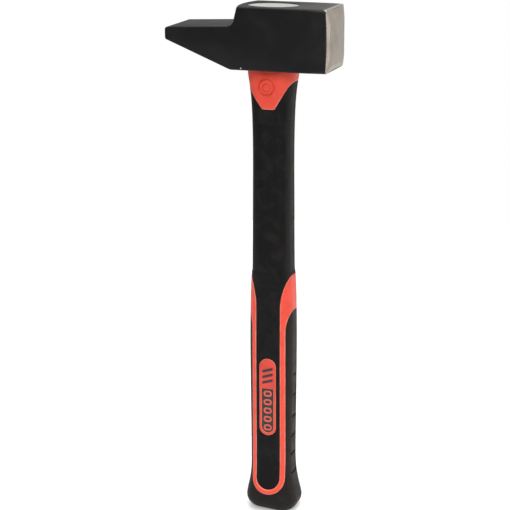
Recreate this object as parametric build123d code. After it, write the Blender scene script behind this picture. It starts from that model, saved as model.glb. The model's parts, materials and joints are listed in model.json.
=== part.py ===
# Cross-peen engineer's hammer: a forged steel head on a fibreglass handle with a two-colour moulded grip.
# Frame: +Z runs up the handle to the head and +X points to the striking face.
# The origin is on the handle's centre line, in the middle of the hand grip. Millimetres.
import math
import os

from build123d import *

# ---- driving dimensions: head ----
head_base = 222.0  # height of the head's underside above the middle of the grip
head_size = 40.0  # height and width of the square head
shoulder_x = 40.6  # where the black body ends and the ground face begins
face_x = 42.4  # the striking face
face_size = 31.2  # flat part of the striking face
face_corner = 4.5
peen_tip_x = -67.0
peen_tip_low = 18.0  # the tip's lower and upper corners, above the underside
peen_tip_high = 25.7
peen_tip_round = 1.8
peen_root_x = -22.5  # where the underside turns up into the wedge
peen_top_root = 27.8  # height of the wedge's top where it meets the boss
boss_corner_x = -17.9  # the boss's end at its top corners
boss_bulge = 4.2  # how far the end curves out between the corners
boss_slope = 0.25  # the end leans out by this much per unit of height
boss_foot_round = 5.0
boss_top_round = 1.8
cheek_edge = 1.0  # rounding of the long edges, which grows towards the face
cheek_edge_face = 2.6
cheek_edge_start = 28.0

# ---- driving dimensions: eye ----
eye_top = (17.2, 12.7)  # half axes of the oval at the top, the waist and the underside
eye_waist = (13.6, 9.6)
eye_bottom = (14.6, 10.4)
eye_waist_height = 14.0
eye_fill_recess = 0.6

# ---- driving dimensions: handle ----
corner_share = 0.76  # corner radius of a handle section, as a share of its half thickness
rubber_wall = 2.0
core_half = (9.0, 5.6)
core_top = head_base + head_size - 4.0
core_bottom = -62.0
butt_bottom = -81.8
butt_round = 8.3
butt_tilt = 4.0  # the butt's foot is lower towards the face, in degrees
butt_shift = 0.75  # and sits this far towards the face
lean_start = -45.0
jacket_foot = 12.0  # solid rubber under the jacket, at the butt
section_pitch = 9.0  # spacing of the sections that a skin is drawn through
panel_recess = 0.15  # the centre panels lie this far under the red frame
# sections from the collar down to the top of the grip: height, half width, half thickness
neck_sections = [
    (head_base, 16.3, 12.2),
    (215.0, 15.5, 11.95),
    (206.0, 14.3, 11.55),
    (192.0, 13.4, 11.15),
    (170.0, 12.95, 11.0),
    (140.0, 13.05, 11.05),
    (105.0, 13.3, 11.3),
    (86.0, 13.5, 11.6),
]
# sections of the grip and of its flared butt
grip_sections = [
    (86.5, 13.95, 11.9),
    (71.0, 14.6, 12.4),
    (44.0, 14.95, 12.8),
    (18.0, 14.9, 12.8),
    (-14.0, 14.6, 12.7),
    (-44.0, 14.4, 12.6),
    (-54.0, 14.75, 12.85),
    (-62.0, 15.8, 13.7),
    (-69.0, 17.45, 14.75),
    (-75.0, 18.2, 15.3),
    (butt_bottom, 18.2, 15.3),
]

# ---- driving dimensions: outlines of the colours, seen from the front ----
collar_low = 213.9  # the collar's lower edge on the narrow sides
tongue_tip = 196.1
tongue_tip_half = 4.1
tongue_root_half = 12.6
tongue_root_face = 210.6  # the tongue starts to narrow here on the face side
tongue_root_peen = 207.4  # and here on the peen side
panel_half = 8.25  # centre panel
panel_foot = -57.5  # centre of the panel's round foot
panel_flare_start = 63.2
panel_flare_end = 85.0
panel_flare_half = 13.9
fork_half = 11.65  # outer edge of the red frame
fork_flare_start = 47.0
fork_flare_end = 60.8
fork_flare_half = 14.8
badge_half = 5.75
badge_length = 54.4
badge_mid = 0.9
badge_front = 13.0  # how far its face stands from the centre plane
badge_depth = 1.3
field_half = 4.05
field_low = -24.4
field_high = 7.0
field_depth = 0.8
field_thick = 0.6
link_count = 5
link_size = (5.6, 4.2)
link_band = 1.1
link_depth = 0.4  # the dark field runs under the links, but for the posts at their two ends
emblem_mid = 210.4
emblem_shift = -0.8  # towards the peen
emblem_out = 5.5
emblem_band = 0.8
emblem_boss = 2.6
emblem_proud = 0.4
# height and half length of each groove: closer together and longer towards the butt
groove_cuts = [(14.8, 2.6), (0.3, 2.8), (-14.5, 4.0), (-28.3, 5.6), (-41.4, 5.6), (-54.9, 5.4)]
groove_wide = 1.5
groove_deep = 1.15
groove_tilt = 2.0

side_reach = 40.0  # half length of the outlines swept through the handle


def section(height, half_width, half_thick, inset=0.0):
    """One rounded section of the handle, square to Z but for the gentle lean of the butt."""
    wide = half_width - inset
    thick = half_thick - inset
    outline = RectangleRounded(2 * wide, 2 * thick, corner_share * thick)
    lean = max(0.0, (lean_start - height) / (lean_start - butt_bottom))
    tilt = math.radians(butt_tilt * lean)
    plane = Plane(origin=(butt_shift * lean, 0, height), z_dir=(math.sin(tilt), 0, math.cos(tilt)))
    return plane * outline


def size_at(rows, height):
    """Half width and half thickness at a height, on a smooth curve through the listed sections."""
    last = len(rows) - 2
    span = next((i for i in range(last) if height >= rows[i + 1][0]), last)
    before, upper, lower, after = (rows[min(max(span + i, 0), last + 1)] for i in (-1, 0, 1, 2))
    step = lower[0] - upper[0]
    share = (height - upper[0]) / step
    sizes = []
    for column in (1, 2):
        rise_upper = step * (lower[column] - before[column]) / (lower[0] - before[0])
        rise_lower = step * (after[column] - upper[column]) / (after[0] - upper[0])
        bend = upper[column] - lower[column]
        sizes.append(
            upper[column]
            + rise_upper * share
            + (-3 * bend - 2 * rise_upper - rise_lower) * share**2
            + (2 * bend + rise_upper + rise_lower) * share**3
        )
    return sizes


def skin(rows, inset=0.0):
    """A smooth solid through a list of handle sections."""
    top = rows[0][0]
    bottom = rows[-1][0]
    count = round((top - bottom) / section_pitch)
    heights = [top + (bottom - top) * step / count for step in range(count + 1)]
    return loft([section(height, *size_at(rows, height), inset) for height in heights])


def through(outline):
    """Sweeps an outline drawn in X and Z right through the handle."""
    return extrude(outline, amount=side_reach, both=True)


def front_face(lines):
    """A face in the XZ plane from lines drawn with X and Z."""
    return Plane.XZ * make_face(lines)


def arch(half_low, low, half_high, high, side):
    """An edge that leaves the vertical at (half_low, low) and curves out to (half_high, high)."""
    start = (side * half_low, low)
    return TangentArc(start, (side * half_high, high), tangent=(0, 1))


def ends_rounded(half, foot, top):
    """A straight-sided tongue with a half-round foot."""
    leg_right = Line((half, top), (half, foot))
    bowl = ThreePointArc((half, foot), (0, foot - half), (-half, foot))
    leg_left = Line((-half, foot), (-half, top))
    return leg_right + bowl + leg_left


def panel_outline():
    """Neck and centre panel together: wide above the flare, narrow below it."""
    lines = ends_rounded(panel_half, panel_foot, panel_flare_start)
    for side in (1, -1):
        lines += arch(panel_half, panel_flare_start, panel_flare_half, panel_flare_end, side)
        lines += Line((side * panel_flare_half, panel_flare_end), (side * side_reach, panel_flare_end))
        lines += Line((side * side_reach, panel_flare_end), (side * side_reach, head_base))
    lines += Line((side_reach, head_base), (-side_reach, head_base))
    return front_face(lines)


def tongue_outline():
    """The collar under the head and the tongue that hangs from it."""
    lines = Line((-side_reach, head_base), (side_reach, head_base))
    for side, root in ((1, tongue_root_face), (-1, tongue_root_peen)):
        far = (side * side_reach, collar_low)
        near = (side * (tongue_root_half + 2.6), collar_low)
        knee = (side * tongue_root_half, root)
        lines += Line((side * side_reach, head_base), far) + Line(far, near)
        lines += Line(near, knee) + Line(knee, (side * tongue_tip_half, tongue_tip))
    lines += Line((tongue_tip_half, tongue_tip), (-tongue_tip_half, tongue_tip))
    face = front_face(lines)
    corners = [point for point in face.vertices() if abs(point.X) < side_reach - 1]
    return fillet(corners, 1.8)


def fork_outline():
    """Everything inside the outer edge of the red frame, which opens out above the side panels."""
    lines = ends_rounded(fork_half, panel_foot, fork_flare_start)
    for side in (1, -1):
        lines += arch(fork_half, fork_flare_start, fork_flare_half, fork_flare_end, side)
        lines += Line((side * fork_flare_half, fork_flare_end), (side * side_reach, fork_flare_end))
        lines += Line((side * side_reach, fork_flare_end), (side * side_reach, head_base))
    lines += Line((side_reach, head_base), (-side_reach, head_base))
    return front_face(lines)


def boss_plan(height):
    """The boss seen from above at a height over the underside: square, with one curved end."""
    corner = boss_corner_x - boss_slope * (head_size - height)
    half = head_size / 2
    far = Line((corner, half), (face_x, half))
    front = Line((face_x, half), (face_x, -half))
    near = Line((face_x, -half), (corner, -half))
    end = ThreePointArc((corner, -half), (corner - boss_bulge, 0), (corner, half))
    return Plane.XY.offset(head_base + height) * make_face(far + front + near + end)


def make_eye():
    """The oval hole through the head, narrowest at its waist."""
    rows = [(0.0, eye_bottom), (eye_waist_height, eye_waist), (head_size, eye_top)]
    return loft([Plane.XY.offset(head_base + height) * Ellipse(*half) for height, half in rows])


def make_head():
    """Wedge peen, square body with a boss over the eye, and a ground face with shallow bevels."""
    wedge_points = [
        (peen_tip_x, peen_tip_low),
        (peen_root_x, 0),
        (face_x, 0),
        (face_x, peen_top_root),
        (boss_corner_x, peen_top_root),
        (peen_tip_x, peen_tip_high),
    ]
    wedge_face = Plane.XZ * make_face(Polyline(wedge_points, close=True))
    tip_corners = wedge_face.vertices().sort_by(Axis.X)[:2]
    wedge_face = fillet(tip_corners, peen_tip_round)
    root_corner = wedge_face.vertices().sort_by_distance((peen_root_x, 0, 0))[0]
    wedge_face = fillet(root_corner, 4.0)
    wedge = Pos(0, 0, head_base) * extrude(wedge_face, amount=head_size / 2, both=True)
    boss = loft([boss_plan(peen_top_root - 10), boss_plan(head_size)])
    body = wedge + boss

    foot_line = body.edges().filter_by(lambda edge: is_boss_foot(edge))
    body = fillet(foot_line, boss_foot_round)
    top_line = body.edges().filter_by(lambda edge: is_boss_top(edge))
    body = fillet(top_line, boss_top_round)

    return (body & make_bar()) - make_eye()


def bar_section(where, size, corner):
    """A rounded square across the head."""
    return Plane.YZ.offset(where) * Pos(0, head_base + head_size / 2) * RectangleRounded(size, size, corner)


def make_bar():
    """The square bar that the head is cut from: long edges rounded, the end bevelled down to the face."""
    rear = bar_section(peen_tip_x - 5, head_size, cheek_edge)
    start = bar_section(cheek_edge_start, head_size, cheek_edge)
    shoulder = bar_section(shoulder_x, head_size, cheek_edge_face)
    face = bar_section(face_x, face_size, face_corner)
    return loft([rear, start]) + loft([start, shoulder]) + loft([shoulder, face])


def is_boss_foot(edge):
    """The curved line where the boss rises from the wedge's top."""
    middle = edge @ 0.5
    height = middle.Z - head_base
    return 25 < height < 30 and edge.length > 30 and abs(middle.Y) < 1 and middle.X < boss_corner_x


def is_boss_top(edge):
    """The curved line round the top of the boss's end."""
    middle = edge @ 0.5
    return middle.Z > head_base + head_size - 0.01 and middle.X < boss_corner_x - 1


def make_core():
    """The fibreglass rod that runs from the butt up into the eye."""
    foot = Plane.XY.offset(core_bottom) * Ellipse(*core_half)
    return extrude(foot, amount=core_top - core_bottom)


def make_badge(side):
    """A red pill with a pocket for the dark field and a row of plain links standing in it."""
    slab = extrude(pill_face(side), amount=badge_depth)
    return slab - make_pocket(side) + make_links(side)


def pill_face(side):
    """The badge's outline on the floor of its seat."""
    pill = SlotOverall(badge_length, 2 * badge_half, 90)
    return side_plane(side, badge_front - badge_depth) * Pos(0, badge_mid) * pill


def make_seat(side):
    """The opening in the centre panel that the badge lies in."""
    return extrude(pill_face(side), amount=3 * badge_depth)


def side_plane(side, distance):
    """A plane square to Y, facing outwards on the front (-1) or the back (+1)."""
    return Plane(origin=(0, side * distance, 0), x_dir=(-side, 0, 0), z_dir=(0, side, 0))


def make_pocket(side):
    """The hollow in the badge: square at the top, half round at the foot."""
    foot = field_low + field_half
    lines = ends_rounded(field_half, foot, field_high)
    lines += Line((field_half, field_high), (-field_half, field_high))
    face = side_plane(side, badge_front) * make_face(lines)
    return extrude(face, amount=-field_depth)


def make_links(side):
    """Plain raised links, evenly spaced down the field, each on a post at either end."""
    pitch = (field_high - field_low - 1.2) / link_count
    top = side_plane(side, badge_front - link_depth)
    floor = side_plane(side, badge_front - field_depth)
    long, short = link_size
    outline = RectangleRounded(long, short, 1.9)
    outline -= RectangleRounded(long - 2 * link_band, short - 2 * link_band, 0.8)
    links = Part()
    for step in range(link_count):
        height = field_high - 0.6 - pitch * (step + 0.5)
        links += extrude(top * Pos(0, height) * outline, amount=link_depth)
        posts = outline - Rectangle(long - 2 * link_band + 0.3, short)
        links += extrude(floor * Pos(0, height) * posts, amount=field_depth)
    return links


def make_field(side):
    """The dark insert that lies in the badge round the links."""
    pocket = make_pocket(side)
    cover = side_plane(side, badge_front) * Pos(0, badge_mid) * Rectangle(4 * badge_half, 2 * badge_length)
    skim = extrude(cover, amount=-(field_depth - field_thick))
    return pocket - skim - make_links(side)


def make_emblem(side):
    """A plain ring and centre boss moulded on the tongue, square to its slope."""
    lean = math.radians(2.6)
    face = Plane(
        origin=(emblem_shift, side * (11.8 + emblem_proud), emblem_mid),
        x_dir=(-side, 0, 0),
        z_dir=(0, side * math.cos(lean), -math.sin(lean)),
    )
    ring = face * (Circle(emblem_out) - Circle(emblem_out - emblem_band) + Circle(emblem_boss))
    return extrude(ring, amount=-1.0)


def make_grooves():
    """Short slanting finger grooves across both narrow sides of the grip."""
    grooves = Part()
    for side in (1, -1):
        for height, reach in groove_cuts:
            edge = size_at(grip_sections, height)[0]
            cutter = Box(2 * groove_deep, 2 * reach, groove_wide)
            cutter = fillet(cutter.edges().filter_by(Axis.X), 0.45 * groove_wide)
            grooves += Pos(side * edge, 0, height) * Rot(groove_tilt, 0, 0) * cutter
    return grooves


def make_parts():
    """Every separate piece, by name, cut to meet its neighbours exactly."""
    neck = skin(neck_sections)
    grip = skin(grip_sections)
    panel = skin(grip_sections, panel_recess)
    foot = grip.faces().sort_by(Axis.Z)[0]
    grip = fillet(foot.edges(), butt_round)
    inner = skin(neck_sections, rubber_wall) + skin(grip_sections, rubber_wall + panel_recess)
    inner -= Pos(0, 0, butt_bottom) * Box(60, 60, 2 * jacket_foot)
    core = make_core()
    neck_zone = through(panel_outline()) - through(tongue_outline())
    fork_zone = through(fork_outline())
    badges = {name: make_badge(side) for name, side in (("front", -1), ("back", 1))}
    fields = {name: make_field(side) for name, side in (("front", -1), ("back", 1))}

    sleeve = ((neck + panel) & neck_zone) - inner
    butt = grip - fork_zone - inner - make_grooves()
    red = (grip & fork_zone) - neck_zone
    collar = neck & through(tongue_outline())
    jacket = red + collar + inner + make_emblem(-1) + make_emblem(1) - core
    sleeve -= make_seat(-1) + make_seat(1)

    eye = make_eye()
    lid = Pos(0, 0, head_base + head_size) * Box(60, 60, 2 * eye_fill_recess)
    resin = eye - core - lid
    return {
        "head": make_head(),
        "eye_resin": resin,
        "fibre_core": core,
        "jacket": jacket,
        "neck_sleeve": sleeve,
        "butt_grip": butt,
        "badge_front": badges["front"],
        "badge_back": badges["back"],
        "badge_field_front": fields["front"],
        "badge_field_back": fields["back"],
    }


os.makedirs("parts", exist_ok=True)
for node, solid in make_parts().items():
    export_step(solid, f"parts/{node}.step")
    box = solid.bounding_box()
    print(node, len(solid.solids()), round(solid.volume / 1000, 2), "cm3", box.min, box.max)
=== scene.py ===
import json
import math

import bmesh
import bpy
from mathutils import Matrix, Vector


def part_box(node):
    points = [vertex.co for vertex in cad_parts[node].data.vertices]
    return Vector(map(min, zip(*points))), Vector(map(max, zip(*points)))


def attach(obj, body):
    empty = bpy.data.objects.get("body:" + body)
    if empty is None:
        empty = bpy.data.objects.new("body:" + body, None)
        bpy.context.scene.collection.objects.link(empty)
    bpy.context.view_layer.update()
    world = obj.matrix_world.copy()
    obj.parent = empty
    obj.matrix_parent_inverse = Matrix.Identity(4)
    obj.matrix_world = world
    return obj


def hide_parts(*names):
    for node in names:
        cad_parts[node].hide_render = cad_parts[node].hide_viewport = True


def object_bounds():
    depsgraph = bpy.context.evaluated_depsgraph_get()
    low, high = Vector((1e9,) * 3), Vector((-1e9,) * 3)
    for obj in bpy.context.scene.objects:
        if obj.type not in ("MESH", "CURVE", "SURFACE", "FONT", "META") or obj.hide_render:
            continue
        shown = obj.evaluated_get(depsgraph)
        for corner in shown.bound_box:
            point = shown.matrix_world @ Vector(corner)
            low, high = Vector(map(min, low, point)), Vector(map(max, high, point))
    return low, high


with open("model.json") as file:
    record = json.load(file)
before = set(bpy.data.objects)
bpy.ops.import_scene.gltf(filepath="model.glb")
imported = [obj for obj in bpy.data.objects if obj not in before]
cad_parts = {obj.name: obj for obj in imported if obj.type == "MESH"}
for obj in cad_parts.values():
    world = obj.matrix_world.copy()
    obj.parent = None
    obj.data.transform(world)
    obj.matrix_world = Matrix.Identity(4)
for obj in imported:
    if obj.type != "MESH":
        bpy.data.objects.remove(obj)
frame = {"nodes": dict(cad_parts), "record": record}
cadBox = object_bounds()
print("frame loaded:", sorted(frame["nodes"]))

mm = 0.001
white = (1, 1, 1, 1)


def newGroup(name, inputs, outputs):
    group = bpy.data.node_groups.new(name, "ShaderNodeTree")
    for label, kind, value in inputs:
        socket = group.interface.new_socket(label, in_out="INPUT", socket_type=kind)
        socket.default_value = value
    for label, kind in outputs:
        group.interface.new_socket(label, in_out="OUTPUT", socket_type=kind)
    start = group.nodes.new("NodeGroupInput")
    end = group.nodes.new("NodeGroupOutput")
    return group, start, end


def addNode(tree, kind, inputs=None, **settings):
    node = tree.nodes.new(kind)
    for key, value in settings.items():
        setattr(node, key, value)
    for key, value in (inputs or {}).items():
        node.inputs[key].default_value = value
    return node


def wire(tree, source, target):
    tree.links.new(source, target)


def feed(tree, value, socket):
    # a number is set on the socket, anything else is wired to it
    if isinstance(value, (int, float)):
        socket.default_value = value
    else:
        wire(tree, value, socket)


def addMath(tree, operation, first, second=None):
    node = addNode(tree, "ShaderNodeMath", operation=operation)
    feed(tree, first, node.inputs[0])
    if second is not None:
        feed(tree, second, node.inputs[1])
    return node.outputs[0]


def addRange(tree, value, source, result=(0.0, 1.0), smooth=False):
    # source is the span that comes in, result the span it becomes
    node = addNode(tree, "ShaderNodeMapRange", {
        "From Min": source[0], "From Max": source[1],
        "To Min": result[0], "To Max": result[1],
    })
    node.interpolation_type = "SMOOTHSTEP" if smooth else "LINEAR"
    wire(tree, value, node.inputs["Value"])
    return node.outputs["Result"]


def addSpread(tree, mask, result):
    # a mask of 0 to 1 spread over another span
    return addRange(tree, mask, (0.0, 1.0), result)


def addNoise(tree, vector, size, texture):
    node = addNode(tree, "ShaderNodeTexNoise", {
        "Detail": texture["detail"], "Roughness": texture["rough"], "Distortion": texture.get("swirl", 0.0),
    })
    wire(tree, vector, node.inputs["Vector"])
    feed(tree, size, node.inputs["Scale"])
    return node.outputs["Fac"]


def addMix(tree, factor, first, second):
    node = addNode(tree, "ShaderNodeMix", data_type="RGBA")
    wire(tree, factor, node.inputs["Factor"])
    for label, value in (("A", first), ("B", second)):
        socket = [s for s in node.inputs if s.name == label and s.type == "RGBA"][0]
        if isinstance(value, tuple):
            socket.default_value = value
        else:
            wire(tree, value, socket)
    return [s for s in node.outputs if s.type == "RGBA"][0]


def addBlend(tree, factor, first, second):
    # the same for numbers: these are the sockets of a Mix node set to FLOAT
    node = addNode(tree, "ShaderNodeMix", data_type="FLOAT")
    for index, value in ((0, factor), (2, first), (3, second)):
        wire(tree, value, node.inputs[index])
    return node.outputs[0]


def addAxes(tree, vector):
    axes = addNode(tree, "ShaderNodeSeparateXYZ")
    wire(tree, vector, axes.inputs["Vector"])
    return axes.outputs


grainTexture = {
    "fine": {"detail": 4.0, "rough": 0.6},
    "coarse": {"detail": 2.0, "rough": 0.5},
    "coarser": 0.22,  # scale of the coarse grain against the fine
    "pitted": (0.58, 0.72),
    "masked": (0.35, 0.65),
}


def buildGrainGroup():
    # fine moulding grain: a height for bump and a mask for roughness
    group, start, end = newGroup(
        "mouldGrain",
        [
            ("Vector", "NodeSocketVector", (0, 0, 0)),
            ("Grain size", "NodeSocketFloat", 2000.0),
            ("Pits", "NodeSocketFloat", 0.3),
        ],
        [("Height", "NodeSocketFloat"), ("Mask", "NodeSocketFloat")],
    )
    texture = grainTexture
    vector, size = start.outputs["Vector"], start.outputs["Grain size"]
    fine = addNoise(group, vector, size, texture["fine"])
    coarse = addNoise(group, vector, addMath(group, "MULTIPLY", size, texture["coarser"]), texture["coarse"])
    pits = addMath(group, "MULTIPLY", addRange(group, coarse, texture["pitted"]), start.outputs["Pits"])
    wire(group, addMath(group, "SUBTRACT", fine, pits), end.inputs["Height"])
    wire(group, addRange(group, coarse, texture["masked"]), end.inputs["Mask"])
    return group


marksTexture = {"detail": 5.0, "rough": 0.62, "swirl": 0.6, "shown": (0.4, 0.72)}


def buildMarksGroup():
    # cloudy marks left by handling
    group, start, end = newGroup(
        "handlingMarks",
        [("Vector", "NodeSocketVector", (0, 0, 0)), ("Cloud size", "NodeSocketFloat", 60.0)],
        [("Clouds", "NodeSocketFloat")],
    )
    cloud = addNoise(group, start.outputs["Vector"], start.outputs["Cloud size"], marksTexture)
    wire(group, addRange(group, cloud, marksTexture["shown"], smooth=True), end.inputs["Clouds"])
    return group


linesTexture = {"detail": 4.0, "rough": 0.62, "shown": (0.32, 0.68), "alongZ": 0.03}


def buildLinesGroup():
    # fine lines that run up and down: drawn plastic, ground steel, glass fibres
    group, start, end = newGroup(
        "drawnLines",
        [("Vector", "NodeSocketVector", (0, 0, 0)), ("Line size", "NodeSocketFloat", 900.0)],
        [("Lines", "NodeSocketFloat")],
    )
    stretched = addNode(group, "ShaderNodeMapping", {"Scale": (1.0, 1.0, linesTexture["alongZ"])})
    wire(group, start.outputs["Vector"], stretched.inputs["Vector"])
    lines = addNoise(group, stretched.outputs["Vector"], start.outputs["Line size"], linesTexture)
    wire(group, addRange(group, lines, linesTexture["shown"]), end.inputs["Lines"])
    return group


rimTexture = {"detail": 3.0, "rough": 0.6, "broken": (0.36, 0.6), "least": 0.35}


def buildRimGroup():
    # paler, broken line along the rounded edges, from the attribute that softenEdges leaves on them: partly
    # edge wear, partly a painted highlight
    group, start, end = newGroup(
        "rimWearAndHighlight",
        [
            ("Vector", "NodeSocketVector", (0, 0, 0)),
            ("Amount", "NodeSocketFloat", 0.5),
            ("Patch size", "NodeSocketFloat", 300.0),
        ],
        [("Mask", "NodeSocketFloat")],
    )
    texture = rimTexture
    rim = addNode(group, "ShaderNodeAttribute", attribute_name="rim").outputs["Fac"]
    patches = addNoise(group, start.outputs["Vector"], start.outputs["Patch size"], texture)
    broken = addRange(group, patches, texture["broken"], (texture["least"], 1.0))
    # the worn mask is edge wear and a painted highlight along the edges
    worn = addMath(group, "MULTIPLY", addMath(group, "MULTIPLY", rim, broken), start.outputs["Amount"])
    wire(group, worn, end.inputs["Mask"])
    return group


# "facing" is how far up a surface looks before the dust and painted top sheen start on it
dustSheenTexture = {"detail": 6.0, "rough": 0.65, "facing": (0.55, 0.97), "broken": (0.3, 0.62), "least": 0.45}


def buildDustSheenGroup():
    # a thin grey film where the surface faces up: settled dust and a painted sheen on the tops
    group, start, end = newGroup(
        "dustAndTopSheen",
        [
            ("Vector", "NodeSocketVector", (0, 0, 0)),
            ("Amount", "NodeSocketFloat", 0.5),
            ("Cloud size", "NodeSocketFloat", 80.0),
        ],
        [("Mask", "NodeSocketFloat")],
    )
    texture = dustSheenTexture
    normal = addAxes(group, addNode(group, "ShaderNodeNewGeometry").outputs["Normal"])
    facing = addRange(group, normal["Z"], texture["facing"], smooth=True)
    cloud = addNoise(group, start.outputs["Vector"], start.outputs["Cloud size"], texture)
    broken = addRange(group, cloud, texture["broken"], (texture["least"], 1.0))
    lie = addMath(group, "MULTIPLY", facing, broken)
    wire(group, addMath(group, "MULTIPLY", lie, start.outputs["Amount"]), end.inputs["Mask"])
    return group


def placeGroup(tree, group, vector, values):
    node = addNode(tree, "ShaderNodeGroup")
    node.node_tree = group
    wire(tree, vector, node.inputs["Vector"])
    for label, value in values.items():
        node.inputs[label].default_value = value
    return node.outputs


grainGroup = buildGrainGroup()
marksGroup = buildMarksGroup()
linesGroup = buildLinesGroup()
rimGroup = buildRimGroup()
dustSheenGroup = buildDustSheenGroup()
print("shader groups built")


def newFinish(name):
    material = bpy.data.materials.new(name)
    material.use_nodes = True
    tree = material.node_tree
    shader = tree.nodes["Principled BSDF"]
    place = addNode(tree, "ShaderNodeTexCoord").outputs["Object"]
    return material, tree, shader, place


def addBump(tree, shader, height, look):
    bump = addNode(tree, "ShaderNodeBump", {"Strength": look["bump"], "Distance": look["bumpDepth"]})
    wire(tree, height, bump.inputs["Height"])
    wire(tree, bump.outputs["Normal"], shader.inputs["Normal"])


sleeveLook = {
    "name": "matBlackSleeve",
    "dark": (0.0034, 0.003, 0.0031, 1),
    "light": (0.0108, 0.0097, 0.0092, 1),
    "side": (0.0155, 0.0145, 0.0112, 1),  # painted highlight: the narrow sides are painted lighter, as the side lamp lights them
    "gloss": 0.14,
}
gripLook = {
    "name": "softBlackGrip",
    "dark": (0.0056, 0.0043, 0.0036, 1),
    "light": (0.0125, 0.0098, 0.0084, 1),
    # painted highlight: the grip's narrow sides are painted lighter too
    "side": (0.0118, 0.0078, 0.0058, 1),
    "gloss": 0.19,
}
# the same for the sleeve and the grip
rubberLook = {
    "grain": {"Grain size": 2600.0, "Pits": 0.25},
    "marks": {"Cloud size": 115.0},
    "rim": {"Amount": 0.5, "Patch size": 260.0},
    "dustSheen": {"Amount": 0.3, "Cloud size": 120.0},
    "streaks": {"Line size": 900.0},
    "leastStreak": 0.35,
    "litSides": (0.62, 0.97),  # how far a surface turns to the side before it takes the painted lighter side tone
    "dustSheenTone": (0.05, 0.047, 0.042, 1),
    "rough": (0.56, 0.7),
    "bump": 0.5,
    "bumpDepth": 0.12 * mm,
}


def makeRubber(look):
    material, tree, shader, place = newFinish(look["name"])
    shared = rubberLook
    grain = placeGroup(tree, grainGroup, place, shared["grain"])
    clouds = placeGroup(tree, marksGroup, place, shared["marks"])["Clouds"]
    rim = placeGroup(tree, rimGroup, place, shared["rim"])
    dustSheen = placeGroup(tree, dustSheenGroup, place, shared["dustSheen"])
    normal = addAxes(tree, addNode(tree, "ShaderNodeNewGeometry").outputs["Normal"])
    litSides = addRange(tree, addMath(tree, "ABSOLUTE", normal["X"]), shared["litSides"], smooth=True)
    streaks = placeGroup(tree, linesGroup, place, shared["streaks"])
    streaked = addSpread(tree, streaks["Lines"], (shared["leastStreak"], 1.0))
    tone = addMix(tree, clouds, look["dark"], look["light"])
    # painted highlight: surfaces turned to the sides get the lighter side tone
    tone = addMix(tree, addMath(tree, "MULTIPLY", litSides, streaked), tone, look["side"])
    # pale rims and up-facing film: partly dust and wear, partly painted highlight
    tone = addMix(tree, addMath(tree, "MAXIMUM", rim["Mask"], dustSheen["Mask"]), tone, shared["dustSheenTone"])
    wire(tree, tone, shader.inputs["Base Color"])
    wire(tree, addSpread(tree, clouds, shared["rough"]), shader.inputs["Roughness"])
    shader.inputs["Specular IOR Level"].default_value = look["gloss"]
    addBump(tree, shader, grain["Height"], shared)
    return material


jacketLook = {
    "name": "redMouldedPlastic",
    "red": (0.76, 0.072, 0.042, 1),
    "deep": (0.69, 0.06, 0.035, 1),
    "paleEdgeHighlight": (0.84, 0.33, 0.24, 1),  # along its edges: pale wear and a painted highlight
}
badgeLook = {
    "name": "redBadgePlastic",
    "red": (0.66, 0.062, 0.04, 1),
    "deep": (0.58, 0.052, 0.034, 1),
    "paleEdgeHighlight": (0.8, 0.38, 0.25, 1),
}
# the same for the jacket and the badges
plasticLook = {
    "grain": {"Grain size": 3200.0, "Pits": 0.1},
    "marks": {"Cloud size": 90.0},
    "rim": {"Amount": 0.7, "Patch size": 220.0},
    "rough": (0.4, 0.48),
    "gloss": 0.3,
    "bump": 0.25,
    "bumpDepth": 0.08 * mm,
}


def makeRedPlastic(look):
    material, tree, shader, place = newFinish(look["name"])
    shared = plasticLook
    grain = placeGroup(tree, grainGroup, place, shared["grain"])
    marks = placeGroup(tree, marksGroup, place, shared["marks"])
    rim = placeGroup(tree, rimGroup, place, shared["rim"])
    tone = addMix(tree, marks["Clouds"], look["red"], look["deep"])
    # painted highlight and pale wear along the rounded edges
    tone = addMix(tree, rim["Mask"], tone, look["paleEdgeHighlight"])
    wire(tree, tone, shader.inputs["Base Color"])
    wire(tree, addSpread(tree, grain["Mask"], shared["rough"]), shader.inputs["Roughness"])
    shader.inputs["Specular IOR Level"].default_value = shared["gloss"]
    addBump(tree, shader, grain["Height"], shared)
    return material


fieldLook = {
    "grain": {"Grain size": 3000.0, "Pits": 0.1},
    "dark": (0.011, 0.011, 0.012, 1),
    "light": (0.018, 0.017, 0.017, 1),
    "rough": (0.42, 0.5),
    "bump": 0.3,
    "bumpDepth": 0.1 * mm,
}


def makeBlackField():
    material, tree, shader, place = newFinish("blackBadgeField")
    look = fieldLook
    grain = placeGroup(tree, grainGroup, place, look["grain"])
    wire(tree, addMix(tree, grain["Mask"], look["dark"], look["light"]), shader.inputs["Base Color"])
    wire(tree, addSpread(tree, grain["Mask"], look["rough"]), shader.inputs["Roughness"])
    addBump(tree, shader, grain["Height"], look)
    return material


resinLook = {
    "grain": {"Grain size": 900.0, "Pits": 0.8},
    "marks": {"Cloud size": 160.0},
    "light": (0.395, 0.38, 0.362, 1),
    "dark": (0.325, 0.313, 0.293, 1),
    "rough": (0.34, 0.5),
    "bump": 0.4,
    "bumpDepth": 0.2 * mm,
}


def makeResin():
    material, tree, shader, place = newFinish("castResin")
    look = resinLook
    grain = placeGroup(tree, grainGroup, place, look["grain"])
    marks = placeGroup(tree, marksGroup, place, look["marks"])
    wire(tree, addMix(tree, marks["Clouds"], look["light"], look["dark"]), shader.inputs["Base Color"])
    wire(tree, addSpread(tree, grain["Mask"], look["rough"]), shader.inputs["Roughness"])
    addBump(tree, shader, grain["Height"], look)
    return material


fibreLook = {
    "fibres": {"Line size": 2500.0},
    "dark": (0.62, 0.55, 0.3, 1),
    "light": (0.8, 0.76, 0.55, 1),
    "rough": 0.5,
}


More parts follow.
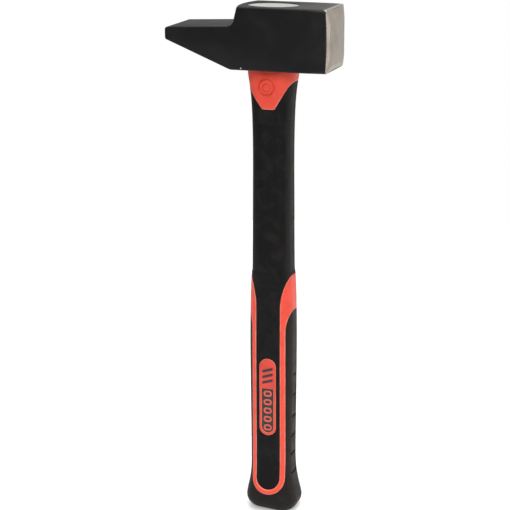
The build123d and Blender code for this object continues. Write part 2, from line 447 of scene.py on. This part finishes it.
def makeFibreglass():
    material, tree, shader, place = newFinish("fibreglassRod")
    look = fibreLook
    fibres = placeGroup(tree, linesGroup, place, look["fibres"])
    wire(tree, addMix(tree, fibres["Lines"], look["dark"], look["light"]), shader.inputs["Base Color"])
    shader.inputs["Roughness"].default_value = look["rough"]
    return material


# the border between black lacquer and bright steel
borderLook = {
    "groundFrom": 40.5 * mm,  # bright steel starts here along X
    "bow": 0.5 * mm,  # and its edge bows out this far halfway up the cheeks
    "topWear": 2.0 * mm,  # on top the lacquer is worn back this much further
    "half": 20 * mm,  # from the middle of the head to its cheeks and top
    "top": (0.955, 1.0),  # the share of that height where the top begins
    "ragged": {"detail": 3.0, "rough": 0.6},
    "raggedSize": 700.0,
    "raggedSpan": (0.3, 0.7),
    "raggedBy": 0.05 * mm,
    "soft": 0.1 * mm,
}


def addGroundMask(tree, place, axes):
    # the ground end: a slightly bowed, slightly ragged line round the square
    look = borderLook
    middle = (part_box("head")[0].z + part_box("head")[1].z) / 2
    height = addMath(tree, "DIVIDE", addMath(tree, "SUBTRACT", axes["Z"], middle), look["half"])
    across = addMath(tree, "DIVIDE", axes["Y"], look["half"])
    corner = addMath(
        tree, "MULTIPLY",
        addMath(tree, "POWER", addMath(tree, "ABSOLUTE", height), 2.0),
        addMath(tree, "POWER", addMath(tree, "ABSOLUTE", across), 2.0),
    )
    ragged = addNoise(tree, place, look["raggedSize"], look["ragged"])
    shift = addRange(tree, ragged, look["raggedSpan"], (-look["raggedBy"], look["raggedBy"]))
    drawnBack = addMath(tree, "MULTIPLY", corner, look["bow"])
    line = addMath(tree, "SUBTRACT", look["groundFrom"] + look["bow"], drawnBack)
    worn = addRange(tree, height, look["top"], (0.0, look["topWear"]), smooth=True)
    line = addMath(tree, "SUBTRACT", line, worn)
    away = addMath(tree, "SUBTRACT", addMath(tree, "ADD", axes["X"], shift), line)
    return addRange(tree, away, (-look["soft"], look["soft"]))


# where the dust and painted top sheen lie on the head: a span along X or out from the middle, and how thick
# it is at its two ends
filmSpans = {
    "body": ((-12 * mm, 32 * mm), (0.25, 1.0)),  # thicker towards the face
    "peen": ((-19 * mm, -30 * mm), (0.0, 0.42)),
    "face": ((33 * mm, 40 * mm), (1.0, 1.55)),
    "cheek": ((13.5 * mm, 19.8 * mm), (1.0, 0.35)),  # thinner towards the cheeks: the painted top sheen fades towards the top's edges
}


def addFilm(tree, dustSheen, axes):
    body = addRange(tree, axes["X"], *filmSpans["body"])
    peen = addRange(tree, axes["X"], *filmSpans["peen"])
    face = addRange(tree, axes["X"], *filmSpans["face"])
    along = addMath(tree, "MULTIPLY", addMath(tree, "MAXIMUM", body, peen), face)
    wiped = addRange(tree, addMath(tree, "ABSOLUTE", axes["Y"]), *filmSpans["cheek"])
    return addMath(tree, "MULTIPLY", dustSheen, addMath(tree, "MULTIPLY", along, wiped))


# one chip in the lacquer low on the near cheek
chipLook = {
    "at": (-15.4 * mm, -20.0 * mm, 223.4 * mm),
    "radius": (0.35 * mm, 0.6 * mm),  # bare inside the first, lacquered outside the second
    "tone": (0.42, 0.4, 0.38, 1),
}


def addChip(tree, place, lacquer):
    distance = addNode(tree, "ShaderNodeVectorMath", {1: chipLook["at"]}, operation="DISTANCE")
    wire(tree, place, distance.inputs[0])
    bare = addRange(tree, distance.outputs["Value"], chipLook["radius"], (1.0, 0.0))
    return addMix(tree, bare, lacquer, chipLook["tone"])


steelLook = {
    "grain": {"Grain size": 1300.0, "Pits": 0.45},
    "marks": {"Cloud size": 42.0},
    "rim": {"Amount": 0.5, "Patch size": 350.0},
    "dustSheen": {"Amount": 0.86, "Cloud size": 150.0},
    "grinding": {"Line size": 1800.0},
    "grindingHeight": 0.4,
    "lacquer": (0.0058, 0.0058, 0.0067, 1),
    "lacquerWorn": (0.0085, 0.0084, 0.0088, 1),
    # dust and a painted sheen on the tops
    "dustSheenTone": (0.085, 0.081, 0.072, 1),
    # painted highlight: a paler line along the lacquered edges
    "lacquerRimHighlight": (0.2, 0.19, 0.18, 1),
    "lacquerRimHighlightShare": 0.16,
    "lacquerRough": (0.44, 0.56),
    "dustRough": 0.32,  # added where dust lies
    "steel": (0.382, 0.333, 0.277, 1),
    "steelLight": (0.475, 0.422, 0.358, 1),
    "scale": (0.16, 0.145, 0.125, 1),
    "scaleShare": 0.3,
    "rubbedAndHighlit": (0.68, 0.63, 0.56, 1),  # edges of the ground end: rubbed bright, and a painted highlight
    "steelRough": (0.3, 0.42),
    "gloss": 0.2,
    "bump": 0.35,
    "bumpDepth": 0.12 * mm,
}


def makeForgedSteel():
    material, tree, shader, place = newFinish("blackLacquerAndGroundSteel")
    look = steelLook
    axes = addAxes(tree, place)
    ground = addGroundMask(tree, place, axes)
    grain = placeGroup(tree, grainGroup, place, look["grain"])
    clouds = placeGroup(tree, marksGroup, place, look["marks"])["Clouds"]
    rim = placeGroup(tree, rimGroup, place, look["rim"])["Mask"]
    dustSheen = placeGroup(tree, dustSheenGroup, place, look["dustSheen"])["Mask"]
    lines = placeGroup(tree, linesGroup, place, look["grinding"])["Lines"]

    black = addMix(tree, clouds, look["lacquer"], look["lacquerWorn"])
    # dust and painted top sheen on the lacquer
    black = addMix(tree, addFilm(tree, dustSheen, axes), black, look["dustSheenTone"])
    # painted highlight along the lacquered edges
    black = addMix(tree, addMath(tree, "MULTIPLY", rim, look["lacquerRimHighlightShare"]), black, look["lacquerRimHighlight"])
    black = addChip(tree, place, black)
    bright = addMix(tree, lines, look["steel"], look["steelLight"])
    bright = addMix(tree, addMath(tree, "MULTIPLY", clouds, look["scaleShare"]), bright, look["scale"])
    # painted highlight and rubbing along the ground end's edges
    bright = addMix(tree, rim, bright, look["rubbedAndHighlit"])
    wire(tree, addMix(tree, ground, black, bright), shader.inputs["Base Color"])
    wire(tree, ground, shader.inputs["Metallic"])

    dulled = addMath(tree, "MULTIPLY", dustSheen, look["dustRough"])
    blackRough = addMath(tree, "ADD", addSpread(tree, clouds, look["lacquerRough"]), dulled)
    brightRough = addSpread(tree, lines, look["steelRough"])
    wire(tree, addBlend(tree, ground, blackRough, brightRough), shader.inputs["Roughness"])
    shader.inputs["Specular IOR Level"].default_value = look["gloss"]
    scored = addMath(tree, "MULTIPLY", lines, look["grindingHeight"])
    addBump(tree, shader, addBlend(tree, ground, grain["Height"], scored), look)
    return material


finishes = {
    "forged_steel": makeForgedSteel(),
    "resin": makeResin(),
    "fibreglass": makeFibreglass(),
    "red_plastic": makeRedPlastic(jacketLook),
    "black_rubber": makeRubber(sleeveLook),
    "badge_red": makeRedPlastic(badgeLook),
    "badge_black": makeBlackField(),
}
gripRubber = makeRubber(gripLook)
slotOf = {part["node"]: part["material_slot"] for part in frame["record"]["subparts"]}
for node, piece in frame["nodes"].items():
    piece.data.materials.clear()
    piece.data.materials.append(gripRubber if node == "butt_grip" else finishes[slotOf[node]])
print("finishes made")


# the ring moulded on each tongue keeps its edges free of the pale rim: its two centres, and how far it
# reaches
ringSpots = {
    "spots": [(-0.8 * mm, -12 * mm, 210.4 * mm), (-0.8 * mm, 12 * mm, 210.4 * mm)],
    "reach": 6.5 * mm,
}
# for each new piece: the node it stands for, how far its edges are rounded, and the angle in degrees that
# makes an edge sharp; "plain" spots are rounded but get no pale rim of wear and painted highlight, and edges
# at the height "leave" stay sharp
softened = {
    "headForging": {"node": "head", "round": 0.3 * mm, "sharp": 24},
    "redJacket": {"node": "jacket", "round": 0.52 * mm, "sharp": 30, "plain": ringSpots},
    "neckSleeve": {"node": "neck_sleeve", "round": 0.3 * mm, "sharp": 30, "leave": 86.5 * mm},
    "buttGrip": {"node": "butt_grip", "round": 0.32 * mm, "sharp": 30},
    "frontBadge": {"node": "badge_front", "round": 0.18 * mm, "sharp": 30},
    "backBadge": {"node": "badge_back", "round": 0.18 * mm, "sharp": 30},
    "frontField": {"node": "badge_field_front", "round": 0.08 * mm, "sharp": 30},
    "backField": {"node": "badge_field_back", "round": 0.08 * mm, "sharp": 30},
}
softening = {"merge": 0.002 * mm, "near": 0.05 * mm, "segments": 3, "crease": 50}


def addPiece(name, form, material):
    mesh = bpy.data.meshes.new(name)
    form.to_mesh(mesh)
    form.free()
    mesh.materials.append(material)
    piece = bpy.data.objects.new(name, mesh)
    bpy.context.scene.collection.objects.link(piece)
    return piece


def isPlain(face, plain):
    middle = face.calc_center_median()
    return any((middle - Vector(spot)).length < plain["reach"] for spot in plain["spots"])


def isAt(edge, height):
    return all(abs(vert.co.z - height) <= softening["near"] for vert in edge.verts)


def softenEdges(name, look):
    node = frame["nodes"][look["node"]]
    form = bmesh.new()
    form.from_mesh(node.data)
    bmesh.ops.remove_doubles(form, verts=form.verts, dist=softening["merge"])
    rim = form.loops.layers.float.new("rim")
    sharp = math.radians(look["sharp"])
    edges = [edge for edge in form.edges if len(edge.link_faces) == 2 and edge.calc_face_angle() > sharp]
    if "leave" in look:
        edges = [edge for edge in edges if not isAt(edge, look["leave"])]
    made = bmesh.ops.bevel(
        form, geom=edges, offset=look["round"], offset_type="OFFSET", segments=softening["segments"],
        profile=0.5, affect="EDGES", clamp_overlap=False, material=-1,
    )
    # the new rounded faces carry the rim mask: pale edges of wear and painted highlight
    for face in made["faces"]:
        if "plain" in look and isPlain(face, look["plain"]):
            continue
        for corner in face.loops:
            corner[rim] = 1.0
    crease = math.radians(softening["crease"])
    for face in form.faces:
        face.smooth = True
    for edge in form.edges:
        edge.smooth = len(edge.link_faces) != 2 or edge.calc_face_angle() < crease
    piece = addPiece(name, form, node.data.materials[0])
    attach(piece, "root")
    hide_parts(look["node"])


for name, look in softened.items():
    softenEdges(name, look)
print("edges softened")


# three plain slanted bars let into the upper half of each badge
slants = {
    "count": 3,
    "width": 7.4 * mm,
    "thick": 1.9 * mm,
    "depth": 0.4 * mm,
    "proud": 0.06 * mm,
    "rise": 2.4 * mm,
    "pitch": 4.0 * mm,
    "middle": 16.2 * mm,
    "round": 0.6 * mm,
    "segments": 4,
}


def makeSlants(name, badge, side):
    # side is -1 at the front and 1 at the back
    low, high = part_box(badge)
    outside = high.y if side > 0 else low.y
    sunk = slants["depth"] / 2 - slants["proud"]
    form = bmesh.new()
    for step in range(slants["count"]):
        middle = slants["middle"] + (step - (slants["count"] - 1) / 2) * slants["pitch"]
        bar = bmesh.ops.create_cube(form, size=1.0)["verts"]
        bmesh.ops.scale(form, verts=bar, vec=(slants["width"], slants["depth"], slants["thick"]))
        for vert in bar:
            vert.co.z += vert.co.x / slants["width"] * slants["rise"] * -side
        bmesh.ops.translate(form, verts=bar, vec=(0, outside - side * sunk, middle))
    # the edges that run into the badge
    deep = [edge for edge in form.edges if abs(edge.verts[0].co.y - edge.verts[1].co.y) > slants["depth"] / 2]
    bmesh.ops.bevel(
        form, geom=deep, offset=slants["round"], offset_type="OFFSET", segments=slants["segments"],
        profile=0.5, affect="EDGES", material=-1,
    )
    piece = addPiece(name, form, finishes["badge_black"])
    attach(piece, "root")


makeSlants("frontSlants", "badge_front", -1)
makeSlants("backSlants", "badge_back", 1)
print("badges finished")


# the floor glows a little, as a light table does
floorLook = {
    "radius": 0.8,
    "sides": 96,
    "tone": (0.66, 0.66, 0.66, 1),
    "rough": 0.9,
    "gloss": 0.0,
    "glow": 0.33,
}


def makeFloor():
    material, tree, shader, place = newFinish("paleFloor")
    shader.inputs["Base Color"].default_value = floorLook["tone"]
    shader.inputs["Roughness"].default_value = floorLook["rough"]
    shader.inputs["Specular IOR Level"].default_value = floorLook["gloss"]
    shader.inputs["Emission Color"].default_value = white
    shader.inputs["Emission Strength"].default_value = floorLook["glow"]
    form = bmesh.new()
    bmesh.ops.create_circle(form, cap_ends=True, segments=floorLook["sides"], radius=floorLook["radius"])
    bmesh.ops.translate(form, verts=form.verts, vec=(0, 0, cadBox[0][2]))
    addPiece("floor", form, material)


# power in watts, size across and up in metres, place, and what it points at
lamps = {
    "front": {"power": 14.7, "size": (0.8, 0.6), "at": (0.3, -1.2, 1.0), "aim": (0, 0, 0.05)},
    "right": {"power": 3.6, "size": (1.1, 0.8), "at": (1.3, 0.35, 0.3), "aim": (0, 0, 0.1)},
}
skylight = {"strength": 3.15, "spread": 55, "from": (0.05, -0.04, 1.0)}
# the room is bright at the back wall and dim in front
roomLight = {"around": 0.12, "behind": 0.75, "wall": (0.1, 0.9), "seen": 1.0}


def linkLamp(name, data, at, aim):
    lamp = bpy.data.objects.new(name, data)
    lamp.location = at
    lamp.rotation_euler = (Vector(at) - Vector(aim)).to_track_quat("Z", "Y").to_euler()
    lamp.visible_camera = False
    bpy.context.scene.collection.objects.link(lamp)


def makeRoom():
    world = bpy.data.worlds.new("studio")
    bpy.context.scene.world = world
    world.use_nodes = True
    tree = world.node_tree
    direction = addAxes(tree, addNode(tree, "ShaderNodeTexCoord").outputs["Generated"])
    strengths = (roomLight["around"], roomLight["behind"])
    background = tree.nodes["Background"]
    background.inputs["Color"].default_value = white
    wire(tree, addRange(tree, direction["Y"], roomLight["wall"], strengths, smooth=True),
         background.inputs["Strength"])
    seen = addNode(tree, "ShaderNodeBackground", {"Color": white, "Strength": roomLight["seen"]})
    blend = addNode(tree, "ShaderNodeMixShader")
    wire(tree, addNode(tree, "ShaderNodeLightPath").outputs["Is Camera Ray"], blend.inputs[0])
    wire(tree, background.outputs[0], blend.inputs[1])
    wire(tree, seen.outputs[0], blend.inputs[2])
    wire(tree, blend.outputs[0], tree.nodes["World Output"].inputs["Surface"])


def makeLight():
    for name, lamp in lamps.items():
        data = bpy.data.lights.new(name + "Panel", "AREA")
        data.shape = "RECTANGLE"
        data.size, data.size_y = lamp["size"]
        data.energy = lamp["power"]
        linkLamp(name + "Panel", data, lamp["at"], lamp["aim"])
    data = bpy.data.lights.new("skylight", "SUN")
    data.energy = skylight["strength"]
    data.angle = math.radians(skylight["spread"])
    linkLamp("skylight", data, skylight["from"], (0, 0, 0))


# angles in degrees, lens and sensor in millimetres
view = {
    "azimuth": 19.22,
    "elevation": 15.485,
    "roll": -0.176,
    "distance": 1081.4 * mm,
    "aim": (-13.135 * mm, 0, 95.53 * mm),
    "lens": 114.64,
    "sensor": 36.0,
    "nearest": 50 * mm,
}


def makeCamera():
    data = bpy.data.cameras.new("camera")
    data.lens = view["lens"]
    data.sensor_width = view["sensor"]
    data.clip_start = view["nearest"]
    camera = bpy.data.objects.new("camera", data)
    turn = math.radians(view["azimuth"])
    lift = math.radians(view["elevation"])
    back = Vector((math.sin(turn) * math.cos(lift), -math.cos(turn) * math.cos(lift), math.sin(lift)))
    roll = Matrix.Rotation(math.radians(view["roll"]), 3, "Z")
    facing = (back.to_track_quat("Z", "Y").to_matrix() @ roll).to_4x4()
    camera.matrix_world = Matrix.Translation(Vector(view["aim"]) + back * view["distance"]) @ facing
    bpy.context.scene.collection.objects.link(camera)
    bpy.context.scene.camera = camera


makeFloor()
makeLight()
makeRoom()
makeCamera()
bpy.context.scene.view_settings.view_transform = "Standard"
print("stage set")
